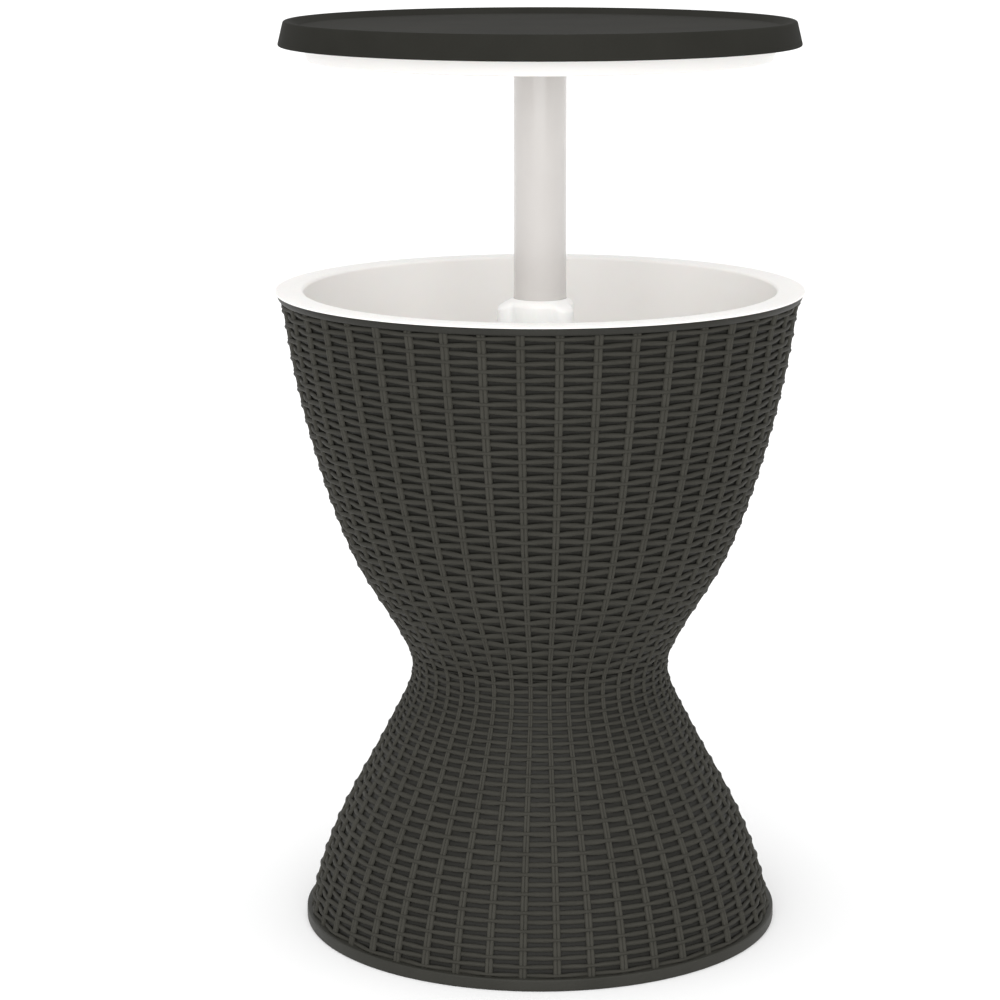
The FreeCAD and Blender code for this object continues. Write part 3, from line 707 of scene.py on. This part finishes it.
def relief(height):
    """Share of the weave's full depth, which is less where the wall is narrow."""
    return np.minimum(wall_radius(height) / RELIEF_RADIUS, 1.0)


def backing_radius(height):
    """Radius of the wall that is seen in the gaps of the weave."""
    return wall_radius(height) - BACKING_DROP * relief(height)


def wall_tilt(height):
    """Outward normal of the weave as its radial and upward parts."""
    growth = wall_radius(height + TILT_REACH) - wall_radius(height - TILT_REACH)
    slope = growth / (2 * TILT_REACH)
    length = np.sqrt(1 + slope ** 2)
    return 1 / length, -slope / length


def outer_wall(low, high, count):
    """Outline of the wall behind the weave, upwards."""
    return [(float(backing_radius(z)), float(z)) for z in np.linspace(low, high, count)]


def inner_wall(high, low, count):
    """Outline of the shell's inside, downwards."""
    return [(float(wall_radius(z)) - WEAVE_DEPTH, float(z)) for z in np.linspace(high, low, count)]


def make_lower_wall():
    """Foot shell behind the weave, with its smooth foot band."""
    band_radius = widest("lower_shell")
    outer = outer_wall(FOOT_BAND, SEAM - SEAM_GROOVE, FOOT_OUTER_STEPS)
    inner = inner_wall(SEAM, WEB_THICK, FOOT_INNER_STEPS)
    band = rounded([
        (band_radius - FOOT_RING_WIDTH, WEB_THICK, 0),
        (band_radius - FOOT_RING_WIDTH, 0, 0),
        (band_radius, 0, FOOT_ROUND),
        (band_radius, FOOT_BAND, FOOT_ROUND),
        (outer[0][0] - BAND_STEP, FOOT_BAND, 0),
    ], closed=False)
    outline = band + outer[1:] + inner
    return lathe("foot_shell_wall", outline + outline[:1])


def make_upper_wall():
    """Bowl shell behind the weave, with its web and the convex lip under the bucket's rim."""
    lip_radius = widest("upper_shell")
    outer = outer_wall(SEAM + SEAM_GROOVE, LIP_LOW, BOWL_OUTER_STEPS)
    inner = inner_wall(LIP_LOW, SEAM + WEB_THICK, BOWL_INNER_STEPS)
    lip_rise = LIP_HEIGHT - LIP_ROUND
    lip = [(lip_radius - LIP_STEP * (1 - math.sin(turn)), LIP_LOW + lip_rise * (1 - math.cos(turn)))
           for turn in QUARTER_TURN]
    crown = rounded([
        (lip_radius, LIP_LOW, 0),
        (lip_radius, SHELL_TOP, LIP_ROUND),
        (inner[0][0], SHELL_TOP, 0),
    ], closed=False)[1:]
    start = float(backing_radius(SEAM)) - SEAM_GROOVE
    outline = ([(start, SEAM)] + outer + lip + crown + inner
               + [(0.0, SEAM + WEB_THICK), (0.0, SEAM), (start, SEAM)])
    return lathe("bowl_shell_wall", outline)


def strand_side(angle):
    """From 1 where an even strand passes in front of a stake to -1 where it passes behind one."""
    return np.cos(math.pi * (angle - FIRST_STAKE) / STAKE_STEP)


def around_pole(radius, angle, height):
    """Places at angles that start in front of the pole and grow to the right."""
    return np.column_stack((radius * np.sin(angle), -radius * np.cos(angle), height))


def make_strands(name, rows):
    """Rings of round reed that pass in front of one stake and behind the next, as one piece."""
    deselect()
    bpy.ops.mesh.primitive_torus_add(major_segments=STRAND_STEPS, minor_segments=STRAND_SIDES,
                                     major_radius=1.0, minor_radius=0.25)
    ring = name_piece(name)
    places = vertex_places(ring.data)
    turn = np.arctan2(places[:, 1], places[:, 0])
    section = np.arctan2(places[:, 2], np.hypot(places[:, 0], places[:, 1]) - 1.0)
    side = strand_side(turn)
    depth = np.where(np.cos(section) > 0, STRAND_DEPTH, STRAND_BACK)
    bulge = depth * np.cos(section) - STRAND_DEPTH
    copies_places = []
    for number in rows:
        height = float(smooth_curve(ROW_HEIGHTS, number))
        above, below = smooth_curve(ROW_HEIGHTS, (number + 0.5, number - 0.5))
        pitch = float(above - below) if 0 < number < LAST_ROW else END_ROW_PITCH
        tilt_out, tilt_up = wall_tilt(height)
        surface_pitch = pitch / max(tilt_out, LEAST_TILT)
        sign = 1 if number % 2 == 0 else -1
        front = np.maximum(sign * side, 0) ** STRAND_PINCH_POWER
        full_share = FOOT_STRAND_SHARE if number < LOWER_ROWS else BOWL_STRAND_SHARE
        share = full_share - STRAND_PINCH * front
        out = relief(height) * (STRAND_CREST + STRAND_SWING * sign * side + bulge)
        out = np.maximum(out, -STRAND_DEEPEST)
        along = 0.5 * share * surface_pitch * np.sin(section)
        radius = wall_radius(height) + tilt_out * out - tilt_up * along
        rise = height + tilt_up * out + tilt_out * along
        copies_places.append(around_pole(radius, turn, rise))
    strands = joined_copies(ring, copies_places)
    bpy.ops.object.shade_smooth()
    return strands


def make_stakes(name, bottom, top, levels):
    """Upright stakes, each a pair of rods side by side with a flat back, as one piece."""
    front_count = 2 * ROD_SIDES + 1
    sides = front_count + STAKE_BACK_SIDES
    bar = ringed_bar(name, sides, levels)
    places = vertex_places(bar.data)
    turn = np.arctan2(places[:, 1], places[:, 0])
    corner = np.round(turn / FULL_TURN * sides).astype(int) % sides
    rod = np.minimum(corner // ROD_SIDES, 1)
    lean = math.pi * (1 - (corner - rod * ROD_SIDES) / ROD_SIDES)
    front = corner < front_count
    back_across = STAKE_BACK_SHARE * (front_count + 1 - corner)
    across = np.where(front, rod - 0.5 + 0.5 * np.cos(lean), back_across)
    valley = STAKE_THICK - STAKE_VALLEY * (1 - np.sin(lean))
    depth = np.where(np.abs(across) < 0.5, valley, STAKE_THICK * np.sin(lean))
    depth = np.where(front, depth, -STAKE_BACK)
    height = bottom + (top - bottom) * places[:, 2] / levels
    tilt_out, tilt_up = wall_tilt(height)
    out = relief(height) * (STAKE_CREST - STAKE_THICK + depth)
    radius = wall_radius(height) + tilt_out * out
    rise = height + tilt_up * out
    half_angle = 0.5 * STAKE_SHARE * STAKE_STEP
    angles = FIRST_STAKE + STAKE_STEP * np.arange(STAKE_COUNT)
    copies_places = [around_pole(radius, angle + half_angle * across, rise) for angle in angles]
    stakes = joined_copies(bar, copies_places)
    smooth(stakes, STAKE_SMOOTH_ANGLE)
    return stakes


def make_shells():
    finish_piece(make_lower_wall(), FOOT_RESIN, "stand", "woven_resin", *FOOT_NODES)
    bowl_wall = make_upper_wall()
    bore(bowl_wall, DRAIN_WEB_HOLE, SEAM - WEB_THICK, SEAM + 2 * WEB_THICK, DRAIN_PLACE)
    smooth(bowl_wall)
    finish_piece(bowl_wall, LIP_RESIN, "stand", "woven_resin", *BOWL_NODES)
    middle_low = LOWER_ROWS // 2
    middle_high = (LOWER_ROWS + LAST_ROW + 1) // 2
    bands = (
        ("foot_strands_low", range(0, middle_low)),
        ("foot_strands_high", range(middle_low, LOWER_ROWS)),
        ("bowl_strands_low", range(LOWER_ROWS, middle_high)),
        ("bowl_strands_high", range(middle_high, LAST_ROW + 1)),
    )
    for name, rows in bands:
        finish_piece(make_strands(name, rows), STRAND_RESIN, "stand", "woven_resin")
    foot_stakes = make_stakes("foot_stakes", FOOT_BAND, SEAM, FOOT_STAKE_LEVELS)
    finish_piece(foot_stakes, STAKE_RESIN, "stand", "woven_resin")
    bowl_stakes = make_stakes("bowl_stakes", SEAM, LIP_LOW, BOWL_STAKE_LEVELS)
    finish_piece(bowl_stakes, STAKE_RESIN, "stand", "woven_resin")


def make_liner():
    """Bucket with its flat rim and rounded mouth, and the hollow lobed column in its middle."""
    low = ends("liner_bowl")[0]
    high = ends("liner")[1]
    rim_radius = widest("liner")
    floor_top = low + LINER_WALL
    mouth_low = high - MOUTH_ROUND
    wall = ((floor_top, BUCKET_FLOOR_RADIUS), *BUCKET_WALL, (mouth_low, BUCKET_MOUTH_RADIUS))
    heights = np.linspace(floor_top, mouth_low, BUCKET_STEPS)
    inner = [(float(smooth_curve(wall, z)), float(z)) for z in heights]
    arc = [(BUCKET_MOUTH_RADIUS + MOUTH_ROUND * (1 - math.cos(turn)),
            high - MOUTH_ROUND * (1 - math.sin(turn))) for turn in QUARTER_TURN]
    rim = rounded([
        (BUCKET_MOUTH_RADIUS + MOUTH_ROUND, high, 0),
        (rim_radius, high, RIM_ROUND),
        (rim_radius, SHELL_TOP, RIM_UNDER_ROUND),
        (BUCKET_MOUTH_RADIUS + LINER_WALL, SHELL_TOP, 0),
    ], closed=False)[1:]
    outer = [(radius + LINER_WALL, height - LINER_WALL) for radius, height in inner[-2::-1]]
    outline = [(0.0, floor_top)] + inner + arc[1:] + rim + outer + [(0.0, low)]
    bucket = lathe("ice_bucket", outline + outline[:1])
    column_top = ends("liner_column")[1]
    fillet = [(floor_top + height, COLUMN_OUTER_GROWTH + spread, 0)
              for height, spread in COLUMN_FILLET]
    foot = (low + COLUMN_FOOT_SINK, fillet[0][1], 0)
    column = lobed_stack("column", [foot] + fillet + [(column_top, COLUMN_OUTER_GROWTH, 0)])
    apply_boolean(bucket, column, "UNION")
    hollow = lobed_stack("hollow", (
        (low - HOLLOW_REACH, COLUMN_INNER_GROWTH, 0),
        (column_top + HOLLOW_REACH, COLUMN_INNER_GROWTH, 0),
    ))
    apply_boolean(bucket, hollow, "DIFFERENCE")
    bore(bucket, DRAIN_BUCKET_HOLE, low - LINER_WALL, low + 2 * LINER_WALL, DRAIN_PLACE)
    smooth(bucket)
    finish_piece(bucket, WHITE_RESIN, "stand", "white_resin", *BUCKET_NODES)


def make_collar():
    """Lobed cap on the column, whose crown slopes away from the pole to a soft edge."""
    low, high = ends("guide_collar")
    column_top = ends("liner_column")[1]
    crown = high + COLLAR_SLOPE * COLLAR_CROWN_RADIUS
    wall_top = column_top - COLLAR_ROUND
    levels = [(low, COLLAR_OUTER_GROWTH, 0), (wall_top, COLLAR_OUTER_GROWTH, 0)]
    for turn in np.linspace(0, math.pi / 2, ROUND_STEPS):
        inset = COLLAR_ROUND * (1 - math.cos(turn))
        drop = COLLAR_ROUND * (1 - math.sin(turn))
        levels.append((crown - drop, COLLAR_OUTER_GROWTH - inset, COLLAR_SLOPE))
    levels += 2 * [(crown, 0, COLLAR_SLOPE)]
    collar = lobed_stack("pole_collar", levels, COLLAR_CAP_RADIUS)
    hollow = lobed_stack("hollow", (
        (low - CUT_REACH, COLLAR_INNER_GROWTH, 0),
        (column_top, COLLAR_INNER_GROWTH, 0),
    ))
    apply_boolean(collar, hollow, "DIFFERENCE")
    bore(collar, widest("pole") + POLE_GAP, low, crown)
    smooth(collar, COLLAR_SMOOTH_ANGLE)
    # The collar takes the white resin with painted light.
    finish_piece(collar, LIT_WHITE_RESIN, "stand", "white_resin", "guide_collar")


def make_pole():
    low, high = ends("pole")
    radius = widest("pole")
    inner = radius - POLE_WALL
    outline = rounded([
        (inner, low, POLE_INNER_ROUND),
        (radius, low, POLE_EDGE_ROUND),
        (radius, high, POLE_EDGE_ROUND),
        (inner, high, POLE_INNER_ROUND),
    ])
    finish_piece(lathe("lift_pole", outline, POLE_STEPS), POLE_RESIN, "lid", "pole_resin", "pole")


def make_table_top():
    """Tray top: a tapered skirt with soft edges, a raised rim and a shallow dished floor."""
    top = ends("table_top")[1]
    skirt_radius = widest("table_top")
    skirt_low = top - SKIRT_HEIGHT
    rim_radius = skirt_radius - SKIRT_TAPER
    floor_height = top - TRAY_DEPTH
    underside = floor_height - TRAY_FLOOR
    inner_top = skirt_radius - SKIRT_WALL - SKIRT_TAPER * (underside - skirt_low) / SKIRT_HEIGHT
    outline = rounded([
        (0.0, underside, 0),
        (inner_top, underside, SKIRT_ROOT_ROUND),
        (skirt_radius - SKIRT_WALL, skirt_low, SKIRT_INNER_ROUND),
        (skirt_radius, skirt_low, SKIRT_EDGE_ROUND),
        (rim_radius, top, TRAY_RIM_OUTER_ROUND),
        (rim_radius - TRAY_RIM_WIDTH, top, TRAY_RIM_INNER_ROUND),
        (rim_radius - TRAY_RIM_WIDTH - TRAY_SLOPE_WIDTH, floor_height, TRAY_FLOOR_ROUND),
        (0.0, floor_height, 0),
    ], closed=False)
    tray = lathe("tray_top", outline + outline[:1])
    finish_piece(tray, LID_RESIN, "lid", "lid_resin", "table_top")


def make_lid_pan():
    """White pan under the tray, with a soft lower edge and countersunk screw holes."""
    low, high = ends("lid_pan")
    top_radius = PAN_RADIUS + PAN_TAPER * (high - low)
    outline = rounded([
        (PAN_HOLE, low, PAN_HOLE_ROUNDS[0]),
        (PAN_RADIUS, low, PAN_EDGE_ROUND),
        (top_radius, high, 0),
        (top_radius - PAN_WALL, high, 0),
        (PAN_RADIUS - PAN_WALL + PAN_TAPER * PAN_WALL, low + PAN_WALL, PAN_INNER_ROUND),
        (PAN_HOLE, low + PAN_WALL, PAN_HOLE_ROUNDS[1]),
    ])
    pan = lathe("closing_pan", outline)
    for number in range(PAN_SCREW_COUNT):
        angle = FULL_TURN * number / PAN_SCREW_COUNT
        place = (PAN_SCREW_CIRCLE * math.cos(angle), PAN_SCREW_CIRCLE * math.sin(angle))
        countersink(pan, PAN_SCREW_HEAD, PAN_SCREW_SHANK, low, PAN_SCREW_SEAT, place)
        bore(pan, PAN_SCREW_SHANK, low, low + 2 * PAN_WALL, place)
    smooth(pan)
    finish_piece(pan, WHITE_RESIN, "lid", "white_resin", "lid_pan")


def make_camera():
    data = bpy.data.cameras.new("camera")
    data.sensor_width = SENSOR_WIDTH
    data.lens = FOCAL_PIXELS / IMAGE_WIDTH * SENSOR_WIDTH
    data.shift_x = -AXIS_OFFSET_PIXELS / IMAGE_WIDTH
    data.clip_end = CLIP_END
    camera = bpy.data.objects.new("camera", data)
    bpy.context.collection.objects.link(camera)
    camera.location = (0, -CAMERA_DISTANCE, CAMERA_HEIGHT)
    camera.rotation_euler = (math.pi / 2 - CAMERA_PITCH, 0, 0)
    bpy.context.scene.camera = camera


def make_floor():
    deselect()
    bpy.ops.mesh.primitive_plane_add(size=FLOOR_SIZE, location=(0, 0, 0))
    floor = name_piece("floor")
    paint(floor, floor_finish())


def add_sun(name, from_place, strength):
    """A wide soft light from one side, with the same strength all over the floor."""
    data = bpy.data.lights.new(name, "SUN")
    data.energy = strength
    data.angle = SUN_WIDTH
    light = bpy.data.objects.new(name, data)
    bpy.context.collection.objects.link(light)
    x, y, z = from_place
    light.rotation_euler = (math.atan2(math.hypot(x, y), z), 0, math.atan2(y, x) + math.pi / 2)


def make_light():
    world = bpy.data.worlds.new("studio")
    bpy.context.scene.world = world
    world.use_nodes = True
    back = world.node_tree.nodes["Background"]
    back.inputs["Color"].default_value = (1.0, 1.0, 1.0, 1.0)
    back.inputs["Strength"].default_value = WORLD_STRENGTH
    add_sun("key", KEY_FROM, KEY_STRENGTH)
    add_sun("top", TOP_FROM, TOP_STRENGTH)
    bpy.context.scene.view_settings.view_transform = "Standard"


make_camera()
make_floor()
make_light()
paint_cad_nodes()
make_shells()
make_liner()
make_pole()
make_table_top()
make_lid_pan()
make_collar()
